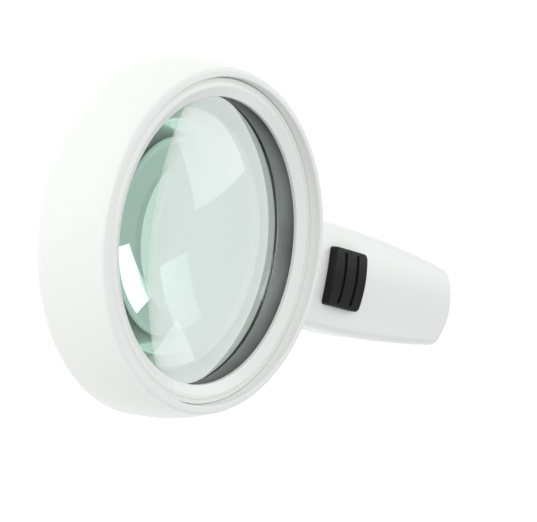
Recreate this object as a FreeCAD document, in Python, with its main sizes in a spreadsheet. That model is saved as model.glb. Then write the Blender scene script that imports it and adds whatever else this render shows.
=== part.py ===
"""Illuminated low vision magnifier: a thick white ring with a recessed glass lens, and a tapering
battery handle with a slide switch. It lies on its rear rim: Z is the lens axis, X runs along the
handle, and the origin is on the lens axis in the rear rim's plane. All lengths are millimetres."""

import FreeCAD, Part
import math
import os

import Sketcher
from FreeCAD import Placement, Rotation, Vector

doc = FreeCAD.newDocument("low_vision_magnifier")
sheet = doc.addObject("Spreadsheet::Sheet", "Sizes")
exported = []


class Size:
    """A length that carries its value and the sheet expression which gives that value."""

    def __init__(self, value, text):
        self.value = value
        self.text = text

    def __add__(self, other):
        other = as_size(other)
        return Size(self.value + other.value, f"({self.text} + {other.text})")

    def __sub__(self, other):
        other = as_size(other)
        return Size(self.value - other.value, f"({self.text} - {other.text})")

    def __mul__(self, other):
        other = as_size(other)
        return Size(self.value * other.value, f"({self.text} * {other.text})")

    def __truediv__(self, other):
        other = as_size(other)
        return Size(self.value / other.value, f"({self.text} / {other.text})")

    def __neg__(self):
        return Size(-self.value, f"(-1 * {self.text})")

    def __radd__(self, other):
        return as_size(other) + self

    def __rsub__(self, other):
        return as_size(other) - self

    def __rmul__(self, other):
        return as_size(other) * self


def as_size(value):
    return value if isinstance(value, Size) else Size(float(value), f"{float(value):.6f}")


def root(size):
    return Size(math.sqrt(size.value), f"sqrt({size.text})")


def driving(alias, value):
    """Writes one driving dimension to the next row of the sheet."""
    driving.row += 1
    sheet.set(f"A{driving.row}", alias)
    sheet.set(f"B{driving.row}", str(value))
    sheet.setAlias(f"B{driving.row}", alias)
    return Size(value, f"Sizes.{alias}")


driving.row = 0

# ---- driving dimensions -------------------------------------------------------------------------
opening_lip = driving("opening_lip", 2.0)
opening_height = driving("opening_height", 24.0)
bezel_radius = driving("bezel_radius", 50.9)
bezel_ridge_height = driving("bezel_ridge_height", 1.65)
body_radius = driving("body_radius", 57.0)
body_bulge_radius = driving("body_bulge_radius", 60.0)
bulge_start = driving("bulge_start", 8.0)
rear_rounding = driving("rear_rounding", 3.7)
lip_height = driving("lip_height", 27.56)
lip_tilt = driving("lip_tilt", 1.7)
wall = driving("wall", 2.0)
fit_gap = driving("fit_gap", 0.1)
seam_gap = driving("seam_gap", 0.2)

lens_radius = driving("lens_radius", 47.0)
lens_surface_radius = driving("lens_surface_radius", 150.0)
lens_edge = driving("lens_edge", 4.6)
lens_recess = driving("lens_recess", 8.7)
barrel_lip = driving("barrel_lip", 1.1)
barrel_wall = driving("barrel_wall", 1.2)
flange_height = driving("flange_height", 9.5)
flange_thickness = driving("flange_thickness", 1.5)

board_thickness = driving("board_thickness", 1.0)
led_ring_radius = driving("led_ring_radius", 50.2)
led_width = driving("led_width", 2.8)
led_length = driving("led_length", 3.5)
led_depth = driving("led_depth", 1.9)
window_thickness = driving("window_thickness", 1.4)
cover_thickness = driving("cover_thickness", 2.2)
cover_rim = driving("cover_rim", 3.2)

handle_length = driving("handle_length", 90.4)
handle_half_width = driving("handle_half_width", 18.0)
handle_end_half_width = driving("handle_end_half_width", 13.8)
handle_straight_length = driving("handle_straight_length", 22.5)
handle_thickness = driving("handle_thickness", 21.8)
handle_crown_radius = driving("handle_crown_radius", 38.0)
handle_front_rounding = driving("handle_front_rounding", 4.0)
handle_rear_rounding = driving("handle_rear_rounding", 3.0)
handle_corner_radius = driving("handle_corner_radius", 4.3)
handle_corner_depth = driving("handle_corner_depth", 5.2)

knob_length = driving("knob_length", 19.8)
knob_width = driving("knob_width", 19.6)
knob_height = driving("knob_height", 2.8)
knob_bow = driving("knob_bow", 1.3)
knob_distance = driving("knob_distance", 20.2)
switch_travel = driving("switch_travel", 3.0)
groove_width = driving("groove_width", 1.5)
groove_depth = driving("groove_depth", 0.7)

cover_length = driving("cover_length", 29.0)
door_skirt = driving("door_skirt", 3.0)
cell_diameter = driving("cell_diameter", 10.5)
cell_length = driving("cell_length", 44.5)
cell_spacing = driving("cell_spacing", 10.9)
cell_height = driving("cell_height", 10.8)
cell_setback = driving("cell_setback", 5.4)
spring_length = driving("spring_length", 5.2)
contact_thickness = driving("contact_thickness", 0.4)
wire_diameter = driving("wire_diameter", 1.2)
screw_radius = driving("screw_radius", 1.0)
boss_radius = driving("boss_radius", 2.1)

# ---- sizes worked out from them -----------------------------------------------------------------
opening_radius = lens_radius - opening_lip
bezel_bore = bezel_radius + fit_gap
lens_front = opening_height - lens_recess
lens_rear = lens_front - lens_edge
barrel_bore = lens_radius + seam_gap
barrel_radius = barrel_bore + barrel_wall
wall_bore = lens_radius - barrel_lip
bezel_underside = opening_height - 1.1
bezel_skirt_end = opening_height - 2.0
rim_underside = opening_height - 2.5
cover_bore_radius = body_radius - 2.4
ledge_radius = cover_bore_radius - 1.0
flange_radius = ledge_radius - 0.3
flange_top = flange_height + flange_thickness
board_bottom = flange_height - board_thickness
cover_radius = cover_bore_radius - seam_gap
window_hole_radius = cover_radius - cover_rim
window_seat_radius = window_hole_radius + 1.3
window_bottom = cover_thickness - window_thickness

handle_end = body_radius + handle_length
handle_taper_start = body_radius + handle_straight_length
knob_rest = body_radius + knob_distance
door_start = body_radius + cover_length
cell_start = door_start + cell_setback
handle_inner = handle_half_width - wall
cover_half_width = handle_half_width - 1.4
ceiling = handle_thickness - wall

cell_offset = cell_spacing / 2
cell_radius = cell_diameter / 2
cell_far = cell_start + cell_length + spring_length
rail_inner = driving("rail_inner", 7.6)
rail_web = driving("rail_web", 1.4)
rail_flange = driving("rail_flange", 1.2)
rail_top = driving("rail_top", 5.0)
rail_outer = rail_inner + rail_web + rail_flange
door_plate = driving("door_plate", 1.8)
notch_half_width = rail_outer + 0.9
notch_height = rail_top + 0.6
end_wall_start = handle_end - driving("end_wall_depth", 4.0)

led_screw_angles = (60, 120, 240, 300)
led_angles = (30, 90, 150, 210, 270, 330)
resistor_turn = 12


# ---- ways of making shapes ----------------------------------------------------------------------
def bind(item, property_name, size):
    item.setExpression(property_name, as_size(size).text)


def move(item, x=0, y=0, z=0):
    """Puts an object's base point at a place worked out from the sheet."""
    item.Placement.Base = Vector(*(as_size(value).value for value in (x, y, z)))
    for axis, value in zip("xyz", (x, y, z)):
        bind(item, f"Placement.Base.{axis}", value)
    return item


def origin_plane(body, role):
    return next(item for item in body.Origin.OriginFeatures if item.Role == role)


def draw(body, role, steps, lift=0):
    """A closed outline on an origin plane. A step is a corner (across, up); a lone size between two
    corners is the radius of the arc joining them, positive where it turns left."""
    sketch = body.newObject("Sketcher::SketchObject", body.Name + "_outline")
    sketch.AttachmentSupport = [(origin_plane(body, role), "")]
    sketch.MapMode = "FlatFace"
    bind(sketch, "AttachmentOffset.Base.z", lift)
    corners = [step for step in steps if isinstance(step, tuple)]
    radii = []
    for step in steps:
        if isinstance(step, tuple):
            radii.append(None)
        else:
            radii[-1] = as_size(step)
    points = [Vector(as_size(x).value, as_size(y).value, 0) for x, y in corners]
    ends = []
    for index, radius in enumerate(radii):
        first, last = points[index], points[(index + 1) % len(points)]
        if radius is None:
            sketch.addGeometry(Part.LineSegment(first, last), False)
            ends.append((1, 2))
        else:
            sketch.addGeometry(arc_between(first, last, radius.value), False)
            ends.append((1, 2) if radius.value > 0 else (2, 1))
    for index, (corner, radius) in enumerate(zip(corners, radii)):
        following = (index + 1) % len(corners)
        sketch.addConstraint(
            Sketcher.Constraint("Coincident", index, ends[index][1], following, ends[following][0]))
        for kind, size in zip(("DistanceX", "DistanceY"), corner):
            hold(sketch, size, kind, index, ends[index][0])
        if radius is not None:
            size = radius if radius.value > 0 else -radius
            hold(sketch, size, "Radius", index)
    return sketch


def hold(sketch, size, kind, *where):
    """Adds one dimension to a sketch and ties it to the sheet."""
    size = as_size(size)
    number = sketch.addConstraint(Sketcher.Constraint(kind, *where, size.value))
    sketch.setExpression(f"Constraints[{number}]", size.text)


def arc_between(first, last, radius):
    """The shorter arc from first to last, turning left for a positive radius."""
    chord = last - first
    left = Vector(-chord.y, chord.x, 0).normalize()
    depth = math.sqrt(max(radius * radius - chord.Length ** 2 / 4, 0))
    side = 1 if radius > 0 else -1
    centre = (first + last) * 0.5 + left * (side * depth)
    start, end = (first, last) if radius > 0 else (last, first)
    angles = [math.atan2(point.y - centre.y, point.x - centre.x) for point in (start, end)]
    if angles[1] < angles[0]:
        angles[1] += 2 * math.pi
    return Part.ArcOfCircle(Part.Circle(centre, Vector(0, 0, 1), abs(radius)), *angles)


def new_body(name):
    body = doc.addObject("PartDesign::Body", name)
    body.Label = name
    return body


def revolved(name, steps):
    """A body turned about the lens axis from an outline of (radius, height) corners."""
    body = new_body(name)
    sketch = draw(body, "XZ_Plane", steps)
    turn = body.newObject("PartDesign::Revolution", name + "_turn")
    turn.Profile = sketch
    turn.ReferenceAxis = (sketch, ["V_Axis"])
    turn.Angle = 360
    sketch.Visibility = False
    return body


def padded(name, steps, height, lift=0, role="XY_Plane"):
    body = new_body(name)
    sketch = draw(body, role, steps, lift)
    pad = body.newObject("PartDesign::Pad", name + "_pad")
    pad.Profile = sketch
    bind(pad, "Length", height)
    return body


def block(name, xs, ys, zs):
    box = doc.addObject("Part::Box", name)
    for side, (low, high) in zip(("Length", "Width", "Height"), (xs, ys, zs)):
        bind(box, side, as_size(high) - low)
    return move(box, xs[0], ys[0], zs[0])


def rod(name, radius, length, x=0, y=0, z=0, along=Vector(0, 0, 1)):
    cylinder = doc.addObject("Part::Cylinder", name)
    bind(cylinder, "Radius", radius)
    bind(cylinder, "Height", length)
    cylinder.Placement.Rotation = Rotation(Vector(0, 0, 1), along)
    return move(cylinder, x, y, z)


def fused(name, shapes):
    joint = doc.addObject("Part::MultiFuse", name)
    joint.Shapes = shapes
    joint.Refine = True
    return joint


def shared(name, shapes):
    common = doc.addObject("Part::MultiCommon", name)
    common.Shapes = shapes
    return common


def cut(name, base, tools):
    result = doc.addObject("Part::Cut", name)
    result.Base = base
    result.Tool = tools[0] if len(tools) == 1 else fused(name + "_tools", tools)
    return result


def grouped(name, shapes):
    group = doc.addObject("Part::Compound", name)
    group.Links = shapes
    return group


def rounded(name, base, choose, radius):
    """Fillets the edges of base for which choose(edge) is true."""
    doc.recompute()
    fillet = doc.addObject("Part::Fillet", name)
    fillet.Base = base
    size = as_size(radius).value
    picked = [i for i, edge in enumerate(base.Shape.Edges, 1) if choose(edge)]
    fillet.Edges = [(i, size, size) for i in picked]
    return fillet


def node(item, label):
    """Marks a finished sub-part: its label is the name of its file."""
    item.Label = label
    exported.append(item)
    return item


def on_circle(radius, degrees):
    turn = math.radians(degrees)
    return radius * round(math.cos(turn), 9), radius * round(math.sin(turn), 9)


# ---- outer form of the handle -------------------------------------------------------------------
# In plan each side runs straight beside the ring and then on one long arc. A corner arc joins it to
# the bowed end, and every arc meets the next on a common tangent.
corner_start = handle_end - handle_corner_depth
taper_run = corner_start - handle_taper_start
taper_drop = handle_half_width - handle_end_half_width
side_radius = (taper_run * taper_run + taper_drop * taper_drop) / (2 * taper_drop)
side_normal = (taper_run / side_radius, (side_radius - taper_drop) / side_radius)
corner_x = corner_start - handle_corner_radius * side_normal[0]
corner_y = handle_end_half_width - handle_corner_radius * side_normal[1]
tip_reach = handle_end - corner_x
bow_radius = ((tip_reach * tip_reach + corner_y * corner_y
               - handle_corner_radius * handle_corner_radius)
              / (2 * (tip_reach - handle_corner_radius)))
bow_share = bow_radius - handle_corner_radius
bow_normal = ((bow_share - tip_reach + handle_corner_radius) / bow_share, corner_y / bow_share)


def handle_outline(inset):
    """Plan of the handle, or of a surface inset from it all round."""
    start = opening_radius
    corner = handle_corner_radius - inset
    side = handle_half_width - inset
    taper_end = (corner_start - inset * side_normal[0],
                 handle_end_half_width - inset * side_normal[1])
    bow_start = (corner_x + corner * bow_normal[0], corner_y + corner * bow_normal[1])
    return [
        (start, -side), (handle_taper_start, -side), side_radius - inset,
        (taper_end[0], -taper_end[1]), corner,
        (bow_start[0], -bow_start[1]), bow_radius - inset,
        (handle_end - inset, 0), bow_radius - inset,
        bow_start, corner,
        taper_end, side_radius - inset,
        (handle_taper_start, side), (start, side),
    ]


def crowned_bar(name, top, crown_radius, half_width, bottom, start, length):
    """A bar along X whose upper face is crowned across its width."""
    sag = crown_radius - root(crown_radius * crown_radius - half_width * half_width)
    steps = [
        (-half_width, bottom), (half_width, bottom), (half_width, top - sag), crown_radius,
        (-half_width, top - sag),
    ]
    return padded(name, steps, length, start, "YZ_Plane")


plan = padded("handle_plan", handle_outline(as_size(0)), handle_thickness + 2)
crown = crowned_bar("handle_crown", handle_thickness, handle_crown_radius,
                    handle_half_width + 2, 0, opening_radius, handle_end - opening_radius + 5)
handle_blank = shared("handle_blank", [plan, crown])


def on_handle_front(edge):
    box = edge.BoundBox
    return box.ZMin > handle_thickness.value * 0.6 and box.XMax > opening_radius.value + 1


def on_handle_rear(edge):
    box = edge.BoundBox
    return box.ZMax < 0.01 and box.XMax > opening_radius.value + 1


handle_front = rounded("handle_front", handle_blank, on_handle_front, handle_front_rounding)
handle_form = rounded("handle_form", handle_front, on_handle_rear, handle_rear_rounding)

# ---- outer form of the ring ---------------------------------------------------------------------
blank_top = lip_height + 3


def outside_at(height, inset=0):
    """Radius of the ring's bulging wall at a height, or of a surface inset from it."""
    rise = height - bulge_start
    curve = body_bulge_radius - inset
    return body_radius - body_bulge_radius + root(curve * curve - rise * rise)


def sine(angle):
    return Size(math.sin(math.radians(angle.value)), f"sin({angle.text} * 1 deg)")


def cosine(angle):
    return Size(math.cos(math.radians(angle.value)), f"cos({angle.text} * 1 deg)")


ring_blank = revolved("ring_blank", [
    (bezel_bore, 0), (body_radius - rear_rounding, 0), rear_rounding,
    (body_radius, rear_rounding), (body_radius, bulge_start), body_bulge_radius,
    (outside_at(blank_top), blank_top), (bezel_bore + 0.4, blank_top),
    (bezel_bore, opening_height),
])

# The front lip is planed at a small angle, so that it stands higher towards the handle.
half_plane = body_radius + 10
lip_plane = doc.addObject("Part::Box", "lip_plane")
for side in ("Length", "Width"):
    bind(lip_plane, side, 2 * half_plane)
bind(lip_plane, "Height", 20)
lip_plane.Placement.Rotation = Rotation(Vector(0, -1, 0), lip_tilt.value)
bind(lip_plane, "Placement.Rotation.Angle", lip_tilt)
move(lip_plane, -half_plane * cosine(lip_tilt), -half_plane,
     lip_height - half_plane * sine(lip_tilt))
ring_planed = cut("ring_planed", ring_blank, [lip_plane])


def on_lip(edge):
    return edge.BoundBox.ZMin > opening_height.value + 1 and edge.BoundBox.ZLength > 1


def on_outer_lip(edge):
    return on_lip(edge) and edge.BoundBox.YLength > 2 * (bezel_bore.value + 1.2)


def on_inner_lip(edge):
    return on_lip(edge) and edge.BoundBox.YLength < 2 * (bezel_bore.value + 1.2)


ring_outer = rounded("ring_outer", ring_planed, on_outer_lip, driving("lip_outer_rounding", 1.2))
ring_form = rounded("ring_form", ring_outer, on_inner_lip, driving("lip_inner_rounding", 0.5))

# ---- housing: one white moulding, open at the rear ----------------------------------------------
clear_below = -1
inside = opening_radius - 5
ring_cavity = revolved("ring_cavity", [
    (inside, clear_below), (cover_bore_radius, clear_below),
    (cover_bore_radius, cover_thickness), (ledge_radius, cover_thickness),
    (ledge_radius, cover_thickness + 1), (body_radius - wall, cover_thickness + 2.4),
    (body_radius - wall, bulge_start), body_bulge_radius - wall,
    (outside_at(rim_underside, wall), rim_underside), (bezel_bore, rim_underside),
    (bezel_bore, blank_top), (inside, blank_top),
])
cavity_plan = padded("cavity_plan", handle_outline(wall), handle_thickness + 1, clear_below)
cavity_crown = crowned_bar("cavity_crown", ceiling, handle_crown_radius - wall,
                           handle_half_width, clear_below - 1, inside, handle_end)
handle_cavity = shared("handle_cavity", [cavity_plan, cavity_crown])

slot_width = cover_half_width + seam_gap
cover_slot = block("cover_slot", (opening_radius, door_start), (-slot_width, slot_width),
                   (clear_below, cover_thickness))
beyond = handle_end + 10
door_zone = block("door_zone", (door_start, beyond),
                  (-handle_half_width - 5, handle_half_width + 5),
                  (clear_below, door_skirt + fit_gap))
notch_side = notch_half_width + seam_gap
end_notch = block("end_notch", (end_wall_start, beyond), (-notch_side, notch_side),
                  (clear_below, notch_height + seam_gap))

stem_length = driving("stem_length", 5.0)
stem_half_width = driving("stem_half_width", 4.0)
stem_start = knob_rest - stem_length / 2
stem_end = knob_rest + stem_length / 2
stem_gap = driving("stem_gap", 0.3)
knob_slot = block("knob_slot", (stem_start - switch_travel - stem_gap, stem_end + stem_gap),
                  (-stem_half_width - stem_gap, stem_half_width + stem_gap),
                  (ceiling - 4, handle_thickness + 1))

screw_circle = driving("screw_circle", 51.6)
cover_screw_side = driving("cover_screw_side", 12.2)
cover_screw_places = [
    (x, y) for x in (body_radius + 4.4, door_start - 5) for y in (-cover_screw_side, cover_screw_side)
]
switch_board_height = driving("switch_board_height", 9.4)
board_screw_places = [(body_radius + 7.8, 0), (door_start + 0.6, 0)]
pilot_gap = driving("pilot_gap", 0.05)
boss_top = ceiling - 0.9

bosses = []
pilots = []
for number, angle in enumerate(led_screw_angles, 1):
    x, y = on_circle(screw_circle, angle)
    bosses.append(rod(f"barrel_boss_{number}", boss_radius, rim_underside + 0.2 - flange_top,
                      x, y, flange_top))
    pilots.append(rod(f"barrel_pilot_{number}", screw_radius + pilot_gap, 6, x, y, flange_top))
for number, (x, y) in enumerate(cover_screw_places, 1):
    bosses.append(rod(f"cover_boss_{number}", boss_radius + 0.4, boss_top - cover_thickness,
                      x, y, cover_thickness))
    pilots.append(rod(f"cover_pilot_{number}", screw_radius + pilot_gap, 7,
                      x, y, cover_thickness))
for number, (x, y) in enumerate(board_screw_places, 1):
    bosses.append(rod(f"switch_boss_{number}", boss_radius, ceiling + 0.3 - switch_board_height,
                      x, y, switch_board_height))
    pilots.append(rod(f"switch_pilot_{number}", screw_radius + pilot_gap, 6,
                      x, y, switch_board_height))


def inner_side_at(start):
    """Half the clear width inside the tapering part of the handle."""
    along = start - handle_taper_start
    return handle_inner - side_radius + root(side_radius * side_radius - along * along)


def span(sign, near, far):
    """Limits across the handle of a piece on one side of it, from its distances to the axis."""
    return (near, far) if sign > 0 else (-far, -near)


keeper_length = driving("keeper_length", 5.0)
keeper_starts = (door_start + 1, handle_end - 12.5)
keeper_low = door_plate + 0.3
keeper_high = rail_top - 1.3
keepers = []
for number, start in enumerate(keeper_starts, 1):
    end = start + keeper_length
    reach = inner_side_at(end) - 0.3
    for side, sign in (("left", -1), ("right", 1)):
        keepers.append(block(f"keeper_toe_{side}_{number}", (start, end),
                             span(sign, rail_inner + rail_web + 0.3, reach),
                             (keeper_low, keeper_high)))
        keepers.append(block(f"keeper_leg_{side}_{number}", (start, end),
                             span(sign, reach - 0.3, reach + 1.4),
                             (door_skirt + fit_gap, rail_top + 1.2)))

outer_form = fused("outer_form", [ring_form, handle_form])
shell = cut("shell", outer_form,
            [ring_cavity, handle_cavity, cover_slot, door_zone, end_notch, knob_slot])
stiffened = fused("stiffened", [shell] + bosses + keepers)
node(cut("housing_moulding", stiffened, pilots), "housing")

# ---- front bezel: white ring pressed into the lip, over the retainer -----------------------------
bezel_step = barrel_radius + 0.6
bezel_land = opening_height + 1.15
bezel_edge = driving("bezel_edge", 0.35)
node(revolved("front_bezel", [
    (opening_radius, bezel_underside), (bezel_step, bezel_underside),
    (bezel_step, bezel_skirt_end), (bezel_radius, bezel_skirt_end),
    (bezel_radius, bezel_land - bezel_edge), bezel_edge, (bezel_radius - bezel_edge, bezel_land),
    (bezel_radius - 1.3, bezel_land), 1.6,
    (bezel_radius - 3.5, opening_height + 0.78 * bezel_ridge_height),
    (opening_radius + bezel_edge, opening_height + 0.19), bezel_edge,
    (opening_radius, opening_height - bezel_edge / 2),
]), "front_bezel")

# ---- lens, its rubber seat and the black ring that holds it down ---------------------------------
lens_sag = lens_surface_radius - root(lens_surface_radius * lens_surface_radius
                                      - lens_radius * lens_radius)
edge_drop = lens_sag - lens_surface_radius + root(
    lens_surface_radius * lens_surface_radius - wall_bore * wall_bore)
node(revolved("lens", [
    (0, lens_rear - lens_sag), lens_surface_radius, (lens_radius, lens_rear),
    (lens_radius, lens_front), lens_surface_radius, (0, lens_front + lens_sag),
]), "lens")

seat_height = lens_rear - 0.9
gasket_inner = wall_bore + seam_gap
node(revolved("lens_gasket", [
    (gasket_inner, seat_height), (barrel_bore - fit_gap, seat_height),
    (barrel_bore - fit_gap, lens_rear - edge_drop), (gasket_inner, lens_rear - edge_drop),
]), "lens_gasket")

retainer_bottom = lens_front + edge_drop + fit_gap
retainer_top = bezel_underside - fit_gap
node(revolved("lens_retainer", [
    (wall_bore, retainer_bottom), (barrel_bore - fit_gap, retainer_bottom),
    (barrel_bore - fit_gap, retainer_top), (wall_bore, retainer_top),
]), "lens_retainer")

# ---- lens barrel: black tube with a flange that is screwed to the housing ------------------------
barrel_bottom = driving("barrel_bottom", 0.3)
barrel_tube = revolved("barrel_tube", [
    (wall_bore, barrel_bottom), (barrel_radius, barrel_bottom), (barrel_radius, flange_height),
    (flange_radius, flange_height), (flange_radius, flange_top), (barrel_radius, flange_top),
    (barrel_radius, retainer_top), (barrel_bore, retainer_top), (barrel_bore, seat_height),
    (wall_bore, seat_height),
])
hole_radius = screw_radius + fit_gap
flange_holes = [
    rod(f"flange_hole_{number}", hole_radius, flange_thickness + 2,
        *on_circle(screw_circle, angle), flange_height - 1)
    for number, angle in enumerate(led_screw_angles, 1)
]
node(cut("barrel", barrel_tube, flange_holes), "lens_barrel")


# ---- lamp: ring board with its light emitting diodes and resistors, and a clear window ----------
def chip(name, width, length, depth, radius, degrees, top):
    """A small rectangular part hanging from the ring board, turned to lie along the ring."""
    x, y = on_circle(radius - width / 2, degrees)
    side_x, side_y = on_circle(length / 2, degrees + 90)
    box = doc.addObject("Part::Box", name)
    bind(box, "Length", width)
    bind(box, "Width", length)
    bind(box, "Height", depth)
    box.Placement.Rotation = Rotation(Vector(0, 0, 1), degrees)
    return move(box, x - side_x, y - side_y, top - depth)


board_inner = barrel_radius + seam_gap
board_ring = rod("board_ring", flange_radius - fit_gap, board_thickness, 0, 0, board_bottom)
board_bore = rod("board_bore", board_inner, board_thickness + 2, 0, 0, board_bottom - 1)
board_holes = [
    rod(f"board_hole_{number}", hole_radius, board_thickness + 2,
        *on_circle(screw_circle, angle), board_bottom - 1)
    for number, angle in enumerate(led_screw_angles, 1)
]
node(cut("lamp_board", board_ring, [board_bore] + board_holes), "led_board")

node(grouped("diodes", [
    chip(f"diode_{angle}", led_width, led_length, led_depth, led_ring_radius, angle, board_bottom)
    for angle in led_angles
]), "leds")
resistor_size = (driving("resistor_width", 1.6), driving("resistor_length", 3.2),
                 driving("resistor_depth", 0.6))
node(grouped("resistors", [
    chip(f"resistor_{angle}", *resistor_size, led_ring_radius, angle + resistor_turn, board_bottom)
    for angle in led_angles
]), "led_resistors")

window_outer = window_seat_radius - fit_gap
node(revolved("light_window", [
    (board_inner, window_bottom), (window_outer, window_bottom),
    (window_outer, cover_thickness), (board_inner, cover_thickness),
]), "light_window")

# ---- rear cover: ring and handle plate in one, set into the housing ------------------------------
seat_bottom = window_bottom - fit_gap
cover_ring = revolved("cover_ring", [
    (window_hole_radius, 0), (cover_radius - 0.5, 0), (cover_radius, 0.45),
    (cover_radius, cover_thickness), (window_hole_radius, cover_thickness),
])
cover_strip = block("cover_strip", (opening_radius, door_start - seam_gap),
                    (-cover_half_width, cover_half_width), (0, cover_thickness))
cover_handle = shared("cover_handle", [handle_form, cover_strip])
cover_blank = fused("cover_blank", [cover_ring, cover_handle])
screw_head_radius = driving("screw_head_radius", 1.9)
screw_head_height = driving("screw_head_height", 1.3)
cover_tools = [
    rod("light_opening", window_hole_radius, 4, 0, 0, clear_below),
    rod("window_seat", window_seat_radius, 4, 0, 0, seat_bottom),
]
for number, (x, y) in enumerate(cover_screw_places, 1):
    cover_tools.append(rod(f"cover_hole_{number}", hole_radius, 5, x, y, clear_below))
    cover_tools.append(rod(f"cover_sink_{number}", screw_head_radius + seam_gap,
                           screw_head_height + 1.2, x, y, clear_below))
node(cut("cover", cover_blank, cover_tools), "rear_cover")

# ---- battery door: rear skin of the grip, which slides off the end of the handle -----------------
door_skin = block("door_skin", (door_start + seam_gap, beyond),
                  (-handle_half_width - 5, handle_half_width + 5), (clear_below, door_skirt))
door_end = block("door_end", (end_wall_start + seam_gap, beyond),
                 (-notch_half_width, notch_half_width), (clear_below, notch_height))
door_shape = shared("door_shape", [handle_form, fused("door_region", [door_skin, door_end])])
door_hollow = padded("door_hollow", handle_outline(wall), handle_thickness, door_plate)
door_tray = cut("door_tray", door_shape, [door_hollow])
rails = []
rail_start = door_start + 1.5
rail_end = end_wall_start + 0.6
for side, sign in (("left", -1), ("right", 1)):
    rails.append(block(f"rail_web_{side}", (rail_start, rail_end),
                       span(sign, rail_inner, rail_inner + rail_web), (door_plate - 0.5, rail_top)))
    rails.append(block(f"rail_flange_{side}", (rail_start, rail_end),
                       span(sign, rail_inner, rail_outer), (rail_top - 1, rail_top)))
door_blank = fused("door_blank", [door_tray] + rails)
grip_depth = driving("grip_depth", 0.45)
grip_half_length = driving("grip_half_length", 7.0)
grips = []
for number in range(6):
    start = door_start + 7 + 2.2 * number
    grips.append(block(f"grip_{number + 1}", (start, start + 1), (-grip_half_length, grip_half_length),
                       (clear_below, grip_depth)))
node(cut("door", door_blank, grips), "battery_door")

# ---- battery compartment ------------------------------------------------------------------------
tray_end = driving("tray_end", 1.5)
tray_side = cell_offset + cell_radius
tray_top = cell_height + 6.4
tray_start = cell_start - contact_thickness - tray_end
tray_stop = cell_far + contact_thickness + tray_end
tray_bottom = cell_height - 4.4
trough_gap = driving("trough_gap", 0.15)
tray_block = block("tray_block", (tray_start, tray_stop), (-tray_side, tray_side),
                   (tray_bottom, tray_top))
inside_tray = (cell_start - contact_thickness, cell_far + contact_thickness)
tray_tools = [
    block("tray_lower", inside_tray, (-tray_side - 1, tray_side + 1),
          (tray_bottom - 1, cell_height)),
    block("near_plate_slot", (inside_tray[0], cell_start + fit_gap),
          (-tray_side - 1, tray_side + 1), (tray_bottom - 1, cell_height + 4.2)),
    block("far_plate_slot", (cell_far - fit_gap, inside_tray[1]),
          (-tray_side - 1, tray_side + 1), (tray_bottom - 1, cell_height + 4.2)),
]
along_x = Vector(1, 0, 0)
for side, sign in (("left", -1), ("right", 1)):
    tray_tools.append(rod(f"trough_{side}", cell_radius + trough_gap,
                          inside_tray[1] - inside_tray[0], inside_tray[0],
                          sign * cell_offset, cell_height, along_x))
node(cut("tray", tray_block, tray_tools), "battery_tray")

nub_length = driving("nub_length", 0.8)
nub_radius = driving("nub_radius", 2.75)
can_length = cell_length - nub_length


def cell(label, side, can_start, nub_start):
    """A dry cell: a steel can with a raised positive nub."""
    can = rod(label + "_can", cell_radius, can_length, can_start, side, cell_height, along_x)
    nub = rod(label + "_nub", nub_radius, nub_length, nub_start, side, cell_height, along_x)
    return node(fused(label, [can, nub]), label)


cell("battery_cell_1", -cell_offset, cell_start + nub_length, cell_start)
cell("battery_cell_2", cell_offset, cell_start + spring_length,
     cell_start + spring_length + can_length)

spring_wire = driving("spring_wire", 0.6)
spring_radius = driving("spring_radius", 3.2)
spring_turns = 4


def spring(start, side):
    """A coil of round wire standing along X."""
    length = spring_length.value - spring_wire.value
    helix = Part.makeLongHelix(length / spring_turns, length, spring_radius.value)
    section = Part.Wire(Part.makeCircle(spring_wire.value / 2,
                                        Vector(spring_radius.value, 0, 0), Vector(0, 1, 0)))
    coil = Part.Wire(helix.Edges).makePipeShell([section], True, True)
    coil.Placement = Placement(
        Vector((start + spring_wire / 2).value, side.value, cell_height.value),
        Rotation(Vector(0, 1, 0), 90))
    return coil


springs = doc.addObject("Part::Feature", "springs")
springs.Shape = Part.makeCompound([
    spring(cell_start + cell_length, -cell_offset), spring(cell_start, cell_offset),
])
node(springs, "contact_springs")

plate_side = driving("plate_side", 4.0)
tail_height = tray_bottom - 0.3 - contact_thickness
tail_length = driving("tail_length", 2.4)
plates = []
for side, sign in (("positive", -1), ("negative", 1)):
    middle = sign * cell_offset
    plates.append(fused(f"{side}_plate", [
        block(f"{side}_face", (cell_start - contact_thickness, cell_start),
              (middle - plate_side, middle + plate_side), (tail_height, cell_height + 4)),
        block(f"{side}_tail", (tray_start - tail_length, cell_start), (middle - 1, middle + 1),
              (tail_height, tail_height + contact_thickness)),
    ]))
node(grouped("plates", plates), "contact_plates")
node(block("bridge", (cell_far, cell_far + contact_thickness),
           (-cell_offset - plate_side, cell_offset + plate_side),
           (cell_height - 4, cell_height + 4)), "bridge_contact")

# ---- slide switch: ribbed knob, carriage and lever move together towards the ring ----------------
knob_side = knob_width / 2
knob_start = knob_rest - knob_length / 2
knob_gap = driving("knob_gap", 0.25)
knob_bar = crowned_bar("knob_bar", handle_thickness + knob_height,
                       handle_crown_radius + knob_height, knob_side,
                       handle_thickness - 4, knob_start, knob_length)
knob_under = crowned_bar("knob_under", handle_thickness + knob_gap,
                         handle_crown_radius + knob_gap, knob_side + 2,
                         handle_thickness - 8, knob_start - 2, knob_length + 4)
bow_curve = (knob_side * knob_side + knob_bow * knob_bow) / (2 * knob_bow)
knob_plan = padded("knob_plan", [
    (knob_start + knob_bow, -knob_side), (knob_start + knob_length, -knob_side),
    (knob_start + knob_length, knob_side), (knob_start + knob_bow, knob_side), bow_curve,
], knob_height + 8, handle_thickness - 5)
knob_blank = cut("knob_blank", shared("knob_prism", [knob_bar, knob_plan]), [knob_under])


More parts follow.
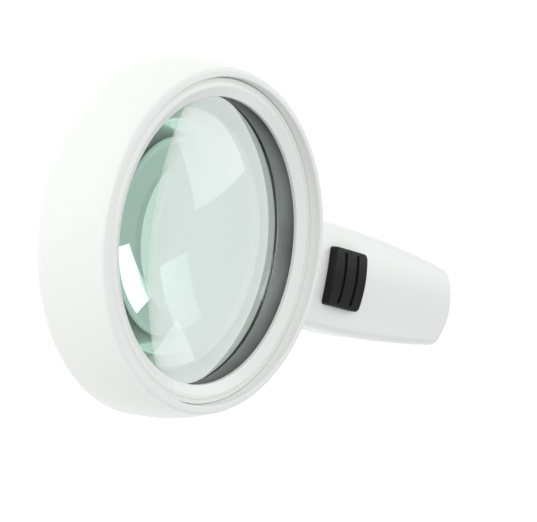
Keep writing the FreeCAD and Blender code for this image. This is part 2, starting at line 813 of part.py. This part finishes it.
def on_knob_corner(edge):
    box = edge.BoundBox
    return box.XLength < 0.01 and box.YLength < 0.01 and box.ZLength > 1


def on_knob_top(edge):
    return edge.BoundBox.ZMin > (handle_thickness + knob_height).value - 1.8


knob_cornered = rounded("knob_cornered", knob_blank, on_knob_corner, driving("knob_corner", 1.8))
knob_softened = rounded("knob_softened", knob_cornered, on_knob_top, driving("knob_edge", 0.7))
groove_floor = crowned_bar("groove_floor", handle_thickness + knob_height - groove_depth,
                           handle_crown_radius + knob_height - groove_depth, knob_side + 2,
                           handle_thickness - 8, knob_start - 2, knob_length + 4)
cheek = driving("knob_cheek", 1.3)
groove_bars = []
for number, share in enumerate((0.34, 0.695), 1):
    middle = knob_start + share * knob_length
    groove_bars.append(block(f"groove_{number}",
                             (middle - groove_width / 2, middle + groove_width / 2),
                             (cheek - knob_side, knob_side - cheek),
                             (handle_thickness - 2, handle_thickness + knob_height + 1)))
grooves = cut("grooves", fused("groove_bars", groove_bars), [groove_floor])
socket_top = handle_thickness + 1.4
stem_socket = block("stem_socket", (stem_start - fit_gap, stem_end + fit_gap),
                    (-stem_half_width - fit_gap, stem_half_width + fit_gap),
                    (handle_thickness - 2, socket_top))
node(cut("knob", knob_softened, [grooves, stem_socket]), "switch_knob")

carriage_half_length = driving("carriage_half_length", 6.0)
carriage_half_width = driving("carriage_half_width", 7.0)
carriage_top = ceiling - 0.9
carriage_plate = driving("carriage_plate", 1.7)
lever_top = carriage_top - carriage_plate
node(fused("carriage", [
    block("carriage_base", (knob_rest - carriage_half_length, knob_rest + carriage_half_length),
          (-carriage_half_width, carriage_half_width), (lever_top, carriage_top)),
    block("carriage_stem", (stem_start, stem_end), (-stem_half_width, stem_half_width),
          (lever_top, socket_top - fit_gap)),
]), "switch_carriage")

lever_half = driving("lever_half", 1.0)
switch_middle = knob_rest - switch_travel / 2
switch_half_length = driving("switch_half_length", 6.4)
switch_half_width = driving("switch_half_width", 3.3)
switch_top = switch_board_height + 5.2
lever_bottom = switch_board_height + 2.8
node(block("lever", (knob_rest - lever_half, knob_rest + lever_half), (-lever_half, lever_half),
           (lever_bottom, lever_top)), "switch_lever")

lever_gap = driving("lever_gap", 0.3)
switch_box = block("switch_box", (switch_middle - switch_half_length,
                                  switch_middle + switch_half_length),
                   (-switch_half_width, switch_half_width), (switch_board_height, switch_top))
lever_slot = block("lever_slot", (knob_rest - switch_travel - lever_half - lever_gap,
                                  knob_rest + lever_half + lever_gap),
                   (-lever_half - lever_gap, lever_half + lever_gap),
                   (lever_bottom - lever_gap, switch_top + 1))
node(cut("switch_case", switch_box, [lever_slot]), "switch_body")

terminal_pitch = driving("terminal_pitch", 4.0)
terminal_radius = driving("terminal_radius", 0.4)
terminal_length = driving("terminal_length", 3.0)
switch_board_bottom = switch_board_height - 1.2
terminal_places = [switch_middle + step * terminal_pitch for step in (-1, 0, 1)]
node(grouped("terminals", [
    rod(f"terminal_{number}", terminal_radius, terminal_length, x, 0,
        switch_board_height - terminal_length)
    for number, x in enumerate(terminal_places, 1)
]), "switch_terminals")

board_side = driving("board_side", 8.0)
switch_board_blank = block("switch_board_blank",
                           (board_screw_places[0][0] - 2.4, board_screw_places[1][0] + 2.4),
                           (-board_side, board_side), (switch_board_bottom, switch_board_height))
switch_board_holes = [
    rod(f"switch_board_hole_{number}", hole_radius, 3, x, y, switch_board_bottom - 1)
    for number, (x, y) in enumerate(board_screw_places, 1)
] + [
    rod(f"terminal_hole_{number}", terminal_radius + fit_gap, 3, x, 0, switch_board_bottom - 1)
    for number, x in enumerate(terminal_places, 1)
]
node(cut("switch_board_drilled", switch_board_blank, switch_board_holes), "switch_board")


# ---- screws -------------------------------------------------------------------------------------
def screw(name, x, y, head_top, length):
    """A pan head screw driven towards the front, its head's upper face at head_top."""
    head = rod(name + "_head", screw_head_radius, screw_head_height, x, y,
               head_top - screw_head_height)
    shank = rod(name + "_shank", screw_radius, length + 0.2, x, y, head_top - 0.2)
    recess = block(name + "_recess", (x - 0.9, x + 0.9), (y - 0.2, y + 0.2),
                   (head_top - screw_head_height - 1, head_top - screw_head_height + 0.6))
    return cut(name, fused(name + "_blank", [head, shank]), [recess])


node(grouped("barrel_screws", [
    screw(f"barrel_screw_{number}", *on_circle(screw_circle, angle), board_bottom, 7)
    for number, angle in enumerate(led_screw_angles, 1)
]), "led_board_screws")
node(grouped("plate_screws", [
    screw(f"cover_screw_{number}", x, as_size(y), screw_head_height + 0.2, 6.5)
    for number, (x, y) in enumerate(cover_screw_places, 1)
]), "cover_screws")
node(grouped("small_screws", [
    screw(f"switch_screw_{number}", x, as_size(y), switch_board_bottom, 6)
    for number, (x, y) in enumerate(board_screw_places, 1)
]), "switch_board_screws")

# ---- wires --------------------------------------------------------------------------------------
wire_height = tail_height + contact_thickness + wire_diameter / 2 + 0.05
wire_side = driving("wire_side", 7.0)
ring_end = led_ring_radius + 1.8
board_face = board_bottom - 0.02


def wire(label, route):
    """A round insulated wire: straight runs joined by tangent arcs at the route's corners."""
    points = [Vector(*(as_size(value).value for value in point)) for point in route]
    edges = []
    start = points[0]
    for before, corner, after in zip(points, points[1:], points[2:]):
        arriving = (corner - before).normalize()
        leaving = (after - corner).normalize()
        turn = arriving.getAngle(leaving)
        trim = 0.45 * min(before.distanceToPoint(corner), corner.distanceToPoint(after))
        radius = trim / math.tan(turn / 2)
        entry = corner - arriving * trim
        leave = corner + leaving * trim
        inward = (leaving - arriving).normalize()
        middle = corner + inward * (radius / math.cos(turn / 2) - radius)
        edges.append(Part.LineSegment(start, entry).toShape())
        edges.append(Part.Arc(entry, middle, leave).toShape())
        start = leave
    edges.append(Part.LineSegment(start, points[-1]).toShape())
    path = Part.Wire(edges)
    across = (points[1] - points[0]).normalize()
    section = Part.Wire(Part.makeCircle(wire_diameter.value / 2, points[0], across))
    tube = doc.addObject("Part::Feature", label + "_tube")
    tube.Shape = path.makePipeShell([section], True, True)
    expected = math.pi * wire_diameter.value ** 2 / 4 * path.Length
    if abs(tube.Shape.Volume - expected) > 0.02 * expected:
        raise SystemExit(f"{label}: the tube's volume does not match its length")
    return node(tube, label)


terminal_reach = terminal_radius + 0.05
wire("wire_positive", [
    (tray_start - 0.4, -cell_offset, wire_height), (tray_start - 5, -cell_offset, wire_height),
    (terminal_places[2] + 2.5, 0, wire_height),
    (terminal_places[2] + terminal_reach, 0, wire_height),
])
wire("wire_switched", [
    (terminal_places[1], -terminal_reach, wire_height),
    (terminal_places[1], -wire_side + 2, wire_height),
    (terminal_places[1] - 5, -wire_side, wire_height),
    (ring_end + 7, -wire_side - 0.8, wire_height),
    (ring_end, -wire_side, wire_height), (ring_end, -wire_side, board_face),
])
wire("wire_negative", [
    (tray_start - 0.4, cell_offset, wire_height), (tray_start - 8, cell_offset, wire_height),
    (terminal_places[1] - 5, wire_side, wire_height),
    (ring_end + 7, wire_side + 0.8, wire_height),
    (ring_end, wire_side, wire_height), (ring_end, wire_side, board_face),
])

# ---- checks, then one file for each sub-part -----------------------------------------------------
doc.recompute()
for item in doc.Objects:
    if "Invalid" in item.State or "Error" in item.State:
        raise SystemExit(f"{item.Name} failed: {item.State}")
for item in exported:
    if item.Shape.isNull() or not item.Shape.isValid() or not item.Shape.Solids:
        raise SystemExit(f"{item.Label} has no valid solid")

os.makedirs("parts", exist_ok=True)
for item in exported:
    item.Shape.exportStep(os.path.join("parts", item.Label + ".step"))
    print(f"{item.Label}: {len(item.Shape.Solids)} solid(s), {item.Shape.Volume:.0f} mm3")
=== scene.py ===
import math

import bpy
from mathutils import Matrix, Vector


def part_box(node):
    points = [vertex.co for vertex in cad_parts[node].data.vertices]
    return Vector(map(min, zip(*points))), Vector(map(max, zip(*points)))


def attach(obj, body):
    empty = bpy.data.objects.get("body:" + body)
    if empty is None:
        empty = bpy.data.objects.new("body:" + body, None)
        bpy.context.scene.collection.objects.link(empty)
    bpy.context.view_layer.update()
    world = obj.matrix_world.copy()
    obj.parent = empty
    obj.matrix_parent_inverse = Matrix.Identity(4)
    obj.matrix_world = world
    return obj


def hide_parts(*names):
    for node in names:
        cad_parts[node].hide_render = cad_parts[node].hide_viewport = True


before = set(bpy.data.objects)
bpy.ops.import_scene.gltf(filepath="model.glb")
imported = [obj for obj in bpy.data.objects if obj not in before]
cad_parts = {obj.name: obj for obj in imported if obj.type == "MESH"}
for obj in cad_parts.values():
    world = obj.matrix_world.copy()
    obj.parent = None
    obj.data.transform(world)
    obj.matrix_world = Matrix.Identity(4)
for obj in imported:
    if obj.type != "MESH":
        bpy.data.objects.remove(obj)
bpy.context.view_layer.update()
bpy.ops.object.select_all(action="DESELECT")

# Studio. The magnifier lies on its rear rim on a glowing white table, as small goods are shown in a
# catalogue. The camera looks down on it from beyond the lens, turned on its side so that the handle
# points to the right.
heading, lowering, turn = math.radians(5.41), math.radians(36.25), math.radians(96.49)
camera_place = Vector((-0.7372, -0.0740, 0.5901))
ahead = Vector((math.cos(lowering) * math.cos(heading), math.cos(lowering) * math.sin(heading),
                -math.sin(lowering)))
level = ahead.cross(Vector((0, 0, 1))).normalized()
rightward = level * math.cos(turn) + level.cross(ahead) * math.sin(turn)
upward = rightward.cross(ahead)
camera = bpy.data.objects.new("camera", bpy.data.cameras.new("camera"))
camera.matrix_world = Matrix.Translation(camera_place) @ Matrix(
    (rightward, upward, -ahead)).transposed().to_4x4()
camera.data.sensor_width = 36
camera.data.lens = 201.1
bpy.context.collection.objects.link(camera)
bpy.context.scene.camera = camera
bpy.context.scene.view_settings.view_transform = "Standard"

world = bpy.data.worlds.new("studio")
world.use_nodes = True
bpy.context.scene.world = world
sky = world.node_tree.nodes["Background"].inputs
sky["Color"].default_value = (0.97, 0.985, 1, 1)
sky["Strength"].default_value = 0.61


def soft_light(name, place, target, size, power):
    """A square soft box at a place in metres, facing a target, with its power in watts."""
    lamp = bpy.data.lights.new(name, "AREA")
    lamp.shape = "SQUARE"
    lamp.size = size
    lamp.energy = power
    holder = bpy.data.objects.new(name, lamp)
    holder.location = place
    holder.rotation_mode = "QUATERNION"
    holder.rotation_quaternion = (Vector(target) - Vector(place)).to_track_quat("-Z", "Y")
    bpy.context.collection.objects.link(holder)
    return holder


soft_light("key", (-1.15, 0.45, 1.2), (0.03, 0, 0.01), 0.8, 9.6)
soft_light("far_left", (1.149, 0.775, 0.8), (0, 0.02, 0.015), 0.9, 4)
far_right = soft_light("far_right", (1.206, -0.588, 0.871), (0, -0.02, 0.015), 0.5, 1.2)
# Seen through the lens this one would only be a second bright square on the glass edge.
far_right.visible_transmission = False


# Shader sockets are written as expressions: arithmetic on a wrapped socket adds its Math nodes. A
# finish is one material with the nodes that feed its shader.
class Signal:
    """A node's output, which arithmetic can be done on."""

    def __init__(self, tree, socket):
        self.tree = tree
        self.socket = socket

    def combine(self, operation, other, swapped=False):
        step = self.tree.nodes.new("ShaderNodeMath")
        step.operation = operation
        for slot, item in zip(step.inputs, (other, self) if swapped else (self, other)):
            feed(self.tree, slot, item)
        return Signal(self.tree, step.outputs[0])

    def __add__(self, other):
        return self.combine("ADD", other)

    def __radd__(self, other):
        return self.combine("ADD", other, True)

    def __sub__(self, other):
        return self.combine("SUBTRACT", other)

    def __rsub__(self, other):
        return self.combine("SUBTRACT", other, True)

    def __mul__(self, other):
        return self.combine("MULTIPLY", other)

    def __rmul__(self, other):
        return self.combine("MULTIPLY", other, True)

    def __gt__(self, other):
        return self.combine("GREATER_THAN", other)


def feed(tree, slot, item):
    """Links a signal to a socket, or sets the socket to a plain value."""
    if isinstance(item, Signal):
        tree.links.new(item.socket, slot)
    else:
        slot.default_value = item


class Finish:
    """One material: its name, its shader and the nodes that feed it."""

    def __init__(self, name, **constants):
        self.material = bpy.data.materials.new(name)
        self.material.use_nodes = True
        self.tree = self.material.node_tree
        self.shader = self.tree.nodes["Principled BSDF"]
        self.set(**constants)

    def set(self, **values):
        for name, value in values.items():
            feed(self.tree, self.shader.inputs[name.replace("_", " ")], value)

    def add(self, kind, settings=None, output=0, inputs=(), **values):
        """A new node with its settings, its inputs in order or by name, and one of its outputs."""
        node = self.tree.nodes.new("ShaderNode" + kind)
        for name, value in (settings or {}).items():
            setattr(node, name, value)
        for slot, value in zip(node.inputs, inputs):
            feed(self.tree, slot, value)
        for name, value in values.items():
            feed(self.tree, node.inputs[name.replace("_", " ")], value)
        return Signal(self.tree, node.outputs[output])

    def end(self, slot, signal):
        """Sends a signal to the surface or the volume of the material."""
        feed(self.tree, self.tree.nodes["Material Output"].inputs[slot], signal)

    def place(self):
        return self.add("TexCoord", output="Object")

    def along(self, axis):
        """The coordinate of a point on one axis of the magnifier, in metres."""
        return self.add("SeparateXYZ", output=axis, Vector=self.place())

    def noise(self, scale, detail=2.0):
        return self.add("TexNoise", Vector=self.place(), Scale=scale, Detail=detail)

    def blend(self, factor, first, second):
        return self.add("Mix", {"data_type": "RGBA"}, output=2, Factor=factor, A=first, B=second)

    def bump(self, height, strength, distance):
        return self.add("Bump", Height=height, Strength=strength, Distance=distance)


table_size, table_gap = 6, 0.0004
bpy.ops.mesh.primitive_plane_add(size=table_size, location=(0, 0, -table_gap))
table = bpy.context.object
table.name = "table"
# From below the table is clear, so that the rear of the magnifier can be looked at.
glow = Finish("glowing_table", Roughness=0.9, Emission_Color=(1, 1, 1, 1), Emission_Strength=0.69)
glow.set(Base_Color=glow.blend(glow.noise(3), (0.5, 0.5, 0.5, 1), (0.53, 0.53, 0.53, 1)))
from_below = glow.add("NewGeometry", output="Backfacing")
lit_top = Signal(glow.tree, glow.shader.outputs[0])
glow.end("Surface", glow.add("MixShader", inputs=(from_below, lit_top, glow.add("BsdfTransparent"))))
table.data.materials.append(glow.material)


# Housing: the white shell of ring and handle, moulded in one piece from glossy ABS. Everything else
# is fitted into it from the rear, so its front shows no screws.
def wear(node, finish):
    """Gives a frame node its finish."""
    shape = bpy.data.objects[node]
    shape.data.materials.clear()
    shape.data.materials.append(finish.material)


def moulded(name, light, dark, roughness, grain=0.03, coat=0.0):
    """Injection moulded plastic: a nearly even colour, with the fine grain of the mould and faint
    dull patches where hands have rubbed it."""
    finish = Finish(name, Coat_Weight=coat, Coat_Roughness=0.12)
    cloud = finish.noise(45)
    fine = finish.noise(2600, 3)
    finish.set(Base_Color=finish.blend(cloud, dark, light),
               Roughness=roughness + (cloud - 0.5) * 0.14,
               Normal=finish.bump(fine, grain, 0.00002))
    return finish


white_abs = moulded("white_abs", (0.875, 0.885, 0.862, 1), (0.85, 0.862, 0.84, 1), 0.34)
wear("housing", white_abs)

# Front bezel: a white ring pressed into the lip. It covers the edge of the black retainer, and its
# face falls in a shallow dish from the ridge to the opening.
bezel_white = moulded("bezel_white", (0.875, 0.885, 0.862, 1), (0.85, 0.862, 0.84, 1), 0.28)
wear("front_bezel", bezel_white)

# Lens: one biconvex block of crown glass with ground edges, 94 mm across. Both faces are caps cut
# from spheres, and the two rims are bridged by the edge.
lens_low, lens_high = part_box("lens")
lens_radius = lens_high.x
face_curve = 0.150
face_sag = face_curve - math.sqrt(face_curve ** 2 - lens_radius ** 2)
caps = []
for name, apex, side in (("front_face", lens_high.z, 1), ("rear_face", lens_low.z, -1)):
    centre = (0, 0, apex - side * face_curve)
    bpy.ops.mesh.primitive_uv_sphere_add(segments=192, ring_count=360, radius=face_curve,
                                         location=centre)
    cap = bpy.context.object
    cap.name = name
    bpy.ops.object.transform_apply(location=True, rotation=True, scale=True)
    bpy.ops.object.mode_set(mode="EDIT")
    bpy.ops.mesh.select_all(action="SELECT")
    bpy.ops.mesh.bisect(plane_co=(0, 0, apex - side * face_sag), plane_no=(0, 0, side),
                        clear_inner=True)
    bpy.ops.object.mode_set(mode="OBJECT")
    caps.append(cap)
bpy.ops.object.select_all(action="DESELECT")
for cap in caps:
    cap.select_set(True)
bpy.context.view_layer.objects.active = caps[0]
bpy.ops.object.join()
lens = bpy.context.object
lens.name = "crown_glass_lens"
bpy.ops.object.mode_set(mode="EDIT")
bpy.ops.mesh.select_all(action="DESELECT")
bpy.ops.mesh.select_mode(type="EDGE")
bpy.ops.mesh.select_non_manifold()
bpy.ops.mesh.bridge_edge_loops()
bpy.ops.mesh.select_all(action="SELECT")
bpy.ops.mesh.normals_make_consistent(inside=False)
bpy.ops.object.mode_set(mode="OBJECT")
bpy.ops.object.shade_smooth_by_angle(angle=math.radians(25))

glass = Finish("crown_glass", IOR=1.52, Transmission_Weight=1.0, Base_Color=(0.862, 0.882, 0.877, 1))
glass.set(Roughness=glass.noise(30) * 0.004)
glass.end("Volume", glass.add("VolumeAbsorption", Color=(0.45, 0.86, 0.68, 1), Density=9))
lens.data.materials.append(glass.material)
bpy.ops.object.select_all(action="DESELECT")
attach(lens, "body")
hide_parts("lens")

# Lens seat: a ring of soft black rubber under the glass, cut from tube. It only shows as a thin line
# at the edge of the lens.
rubber = moulded("seat_rubber", (0.035, 0.036, 0.037, 1), (0.02, 0.02, 0.021, 1), 0.75, grain=0.2)
wear("lens_gasket", rubber)

# Retainer: a black ABS ring that holds the glass down and hides its edge. Its polished bore is the
# dark wall above the lens. A reflection is painted into its colour: greyer towards the glass, and
# broken into lighter painted patches.
retainer_black = moulded("retainer_black", (0.20, 0.21, 0.205, 1), (0.16, 0.168, 0.164, 1), 0.2,
                         coat=0.5)
retainer_low, retainer_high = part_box("lens_retainer")
rise = (retainer_black.along("Z") - retainer_low.z) * (1 / (retainer_high.z - retainer_low.z))
# Painted reflection: the bore's colour rises from dark at the top to grey at the glass, with noise
# patches standing in for reflections on it.
painted_reflection_patches = retainer_black.noise(38, 3) - 0.5
painted_reflection = rise - 0.2 + painted_reflection_patches * 1.1
retainer_black.set(Base_Color=retainer_black.blend(painted_reflection, (0.36, 0.375, 0.365, 1),
                                                   (0.06, 0.063, 0.061, 1)))
wear("lens_retainer", retainer_black)

# Barrel: the tube that carries the lens, moulded in white so that it throws the lamp's light down
# onto the page, with a flange that is screwed to the housing.
barrel_white = moulded("barrel_white", (0.78, 0.79, 0.775, 1), (0.73, 0.74, 0.725, 1), 0.45)
wear("lens_barrel", barrel_white)

# Lamp board: a ring of fibreglass under white solder resist, screwed up against the barrel's flange.
# Its copper tracks show as slightly raised, darker circles.
board_white = Finish("white_resist", Roughness=0.4)
half_pitch, track_edge = 0.0011, 0.0007
across_board = board_white.add("VectorMath", {"operation": "MULTIPLY"},
                               inputs=(board_white.place(), (1, 1, 0)))
from_axis = board_white.add("VectorMath", {"operation": "LENGTH"}, output="Value",
                            inputs=(across_board,))
track = board_white.add("Math", {"operation": "PINGPONG"}, inputs=(from_axis, half_pitch))
copper = track > track_edge
board_white.set(Base_Color=board_white.blend(copper, (0.72, 0.74, 0.72, 1), (0.56, 0.60, 0.55, 1)),
                Normal=board_white.bump(copper, 0.4, 0.00003))
wear("led_board", board_white)

# Light emitting diodes: six white ceramic cups filled with yellow phosphor, soldered to the board
# and facing the page.
led_low, led_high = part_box("leds")
diode_count, diode_circle = 6, 0.0502
diode_length, diode_width, diode_height = 0.0028, 0.0035, led_high.z - led_low.z
wall, cup_depth, cup_slope = 0.0004, 0.0004, 0.0001
bpy.ops.mesh.primitive_cube_add(size=1, location=(diode_circle, 0, (led_low.z + led_high.z) / 2),
                                scale=(diode_length, diode_width, diode_height))
diode = bpy.context.object
diode.name = "diodes"
bpy.ops.object.transform_apply(location=True, rotation=True, scale=True)
ceramic = moulded("diode_ceramic", (0.85, 0.85, 0.83, 1), (0.80, 0.80, 0.78, 1), 0.5)
phosphor = Finish("phosphor", Roughness=0.35)
speck = phosphor.noise(4000)
phosphor.set(Base_Color=phosphor.blend(speck, (0.85, 0.62, 0.12, 1), (0.93, 0.78, 0.25, 1)),
             Normal=phosphor.bump(speck, 0.2, 0.00004))
diode.data.materials.append(ceramic.material)
diode.data.materials.append(phosphor.material)
bpy.ops.object.mode_set(mode="EDIT")
bpy.ops.mesh.select_mode(type="FACE")
bpy.ops.mesh.select_all(action="DESELECT")
bpy.ops.object.mode_set(mode="OBJECT")
for face in diode.data.polygons:
    face.select = face.normal.z < -0.9
bpy.ops.object.mode_set(mode="EDIT")
bpy.ops.mesh.inset(thickness=wall)
bpy.ops.mesh.extrude_region_move(TRANSFORM_OT_translate={"value": (0, 0, cup_depth)})
bpy.ops.mesh.inset(thickness=cup_slope)
diode.active_material_index = 1
bpy.ops.object.material_slot_assign()
bpy.ops.object.mode_set(mode="OBJECT")
step = 2 * math.pi / diode_count
diode.data.transform(Matrix.Rotation(step / 2, 4, "Z"))
copies = [diode]
for number in range(1, diode_count):
    copy = diode.copy()
    copy.data = diode.data.copy()
    copy.data.transform(Matrix.Rotation(number * step, 4, "Z"))
    bpy.context.collection.objects.link(copy)
    copies.append(copy)
bpy.ops.object.select_all(action="DESELECT")
for copy in copies:
    copy.select_set(True)
bpy.context.view_layer.objects.active = diode
bpy.ops.object.join()
bpy.ops.object.select_all(action="DESELECT")
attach(diode, "body")
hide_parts("leds")

# Resistors: six thick film chips of ceramic under black glaze. They are soldered to the lamp board,
# one beside each diode.
chip_black = moulded("chip_glaze", (0.04, 0.04, 0.045, 1), (0.02, 0.02, 0.022, 1), 0.3)
wear("led_resistors", chip_black)

# Light window: a flat ring of clear acrylic in the rear rim. It is lightly frosted to spread the
# light of the six diodes.
acrylic = Finish("frosted_acrylic", IOR=1.49, Transmission_Weight=1.0,
                 Base_Color=(0.96, 0.98, 0.98, 1))
frost = acrylic.noise(900)
acrylic.set(Roughness=0.14 + frost * 0.1, Normal=acrylic.bump(frost, 0.1, 0.00002))
wear("light_window", acrylic)


# Board screws: four pan head screws of zinc plated steel that hold board and barrel to the housing,
# and two like them under the switch board.
def plated(name, light, dark, roughness):
    """Plated metal: bright, with a faint cloudy bloom and fine rolling lines."""
    finish = Finish(name, Metallic=1.0)
    bloom = finish.noise(220, 4)
    finish.set(Base_Color=finish.blend(bloom, dark, light), Roughness=roughness + bloom * 0.18,
               Normal=finish.bump(finish.noise(5200), 0.06, 0.00002))
    return finish


zinc = plated("zinc_plate", (0.78, 0.79, 0.80, 1), (0.60, 0.61, 0.63, 1), 0.2)
for name in ("led_board_screws", "switch_board_screws", "cover_screws"):
    wear(name, zinc)

# Battery tray: a grey ABS moulding with two round troughs, which keep the cells apart. It is fixed
# under the roof of the handle.
tray_grey = moulded("tray_grey", (0.33, 0.34, 0.35, 1), (0.28, 0.29, 0.30, 1), 0.5)
wear("battery_tray", tray_grey)


# Cells: two AAA dry cells lying head to tail in the tray. Their plastic sleeves have a copper coloured
# band next to the positive end, and are black for the rest.
def sleeved(name, band_start, band_end):
    """The sleeve of a dry cell, with its bright band between two places along the handle."""
    finish = Finish(name, Coat_Weight=0.6, Coat_Roughness=0.15)
    along = finish.along("X")
    band = (along > band_start) * (1 - (along > band_end))
    finish.set(Base_Color=finish.blend(band, (0.02, 0.02, 0.022, 1), (0.72, 0.36, 0.16, 1)),
               Metallic=band * 0.8, Roughness=0.3 + finish.noise(600) * 0.08)
    return finish


band_width = 0.012
first_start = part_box("battery_cell_1")[0].x
second_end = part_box("battery_cell_2")[1].x
wear("battery_cell_1", sleeved("sleeve_1", first_start, first_start + band_width))
wear("battery_cell_2", sleeved("sleeve_2", second_end - band_width, second_end))

# Contacts: coiled springs, end plates and the bridge between the cells, bent from nickel plated steel
# and pushed into the ends of the tray. The pins of the switch have the same plating.
nickel = plated("nickel_plate", (0.82, 0.78, 0.70, 1), (0.66, 0.62, 0.55, 1), 0.16)
for name in ("contact_springs", "contact_plates", "bridge_contact", "switch_terminals"):
    wear(name, nickel)

# Switch: a bought slide switch in black glass filled nylon, soldered to a small board under green
# solder resist.
nylon_black = moulded("nylon_black", (0.035, 0.035, 0.037, 1), (0.02, 0.02, 0.021, 1), 0.55)
wear("switch_body", nylon_black)
wear("switch_lever", nylon_black)
resist_green = moulded("green_resist", (0.03, 0.22, 0.09, 1), (0.02, 0.16, 0.065, 1), 0.3, coat=0.4)
wear("switch_board", resist_green)

# Carriage: a plate of natural acetal that slides under the roof of the handle and carries the knob
# on a stem through the slot.
acetal = moulded("natural_acetal", (0.74, 0.73, 0.68, 1), (0.70, 0.69, 0.64, 1), 0.42)
wear("switch_carriage", acetal)

# Knob: a thumb slide of dull black ABS with two grooves across its crowned top, clipped on the
# carriage's stem.
knob_black = moulded("knob_black", (0.014, 0.0138, 0.0145, 1), (0.009, 0.009, 0.0095, 1), 0.42,
                     grain=0.12)
knob_black.set(Specular_IOR_Level=0.12)
wear("switch_knob", knob_black)

# Wires: stranded copper in soft PVC, soldered at both ends. Red runs from the battery to the switch,
# blue from the switch to the lamp board, and black from the lamp board back to the battery.
for node, colour, dark in (("wire_positive", (0.55, 0.02, 0.015, 1), (0.42, 0.015, 0.012, 1)),
                           ("wire_switched", (0.02, 0.07, 0.42, 1), (0.015, 0.05, 0.32, 1)),
                           ("wire_negative", (0.025, 0.025, 0.026, 1), (0.015, 0.015, 0.016, 1))):
    wear(node, moulded(node + "_sleeve", colour, dark, 0.4))

# Rear cover and battery door: the white ABS of the housing with a coarser spark grain, because they
# lie on the table. The cover is screwed on, and the door slides off over the end of the handle.
rear_white = moulded("rear_white", (0.825, 0.84, 0.82, 1), (0.79, 0.805, 0.785, 1), 0.5, grain=0.3)
wear("rear_cover", rear_white)
wear("battery_door", rear_white)
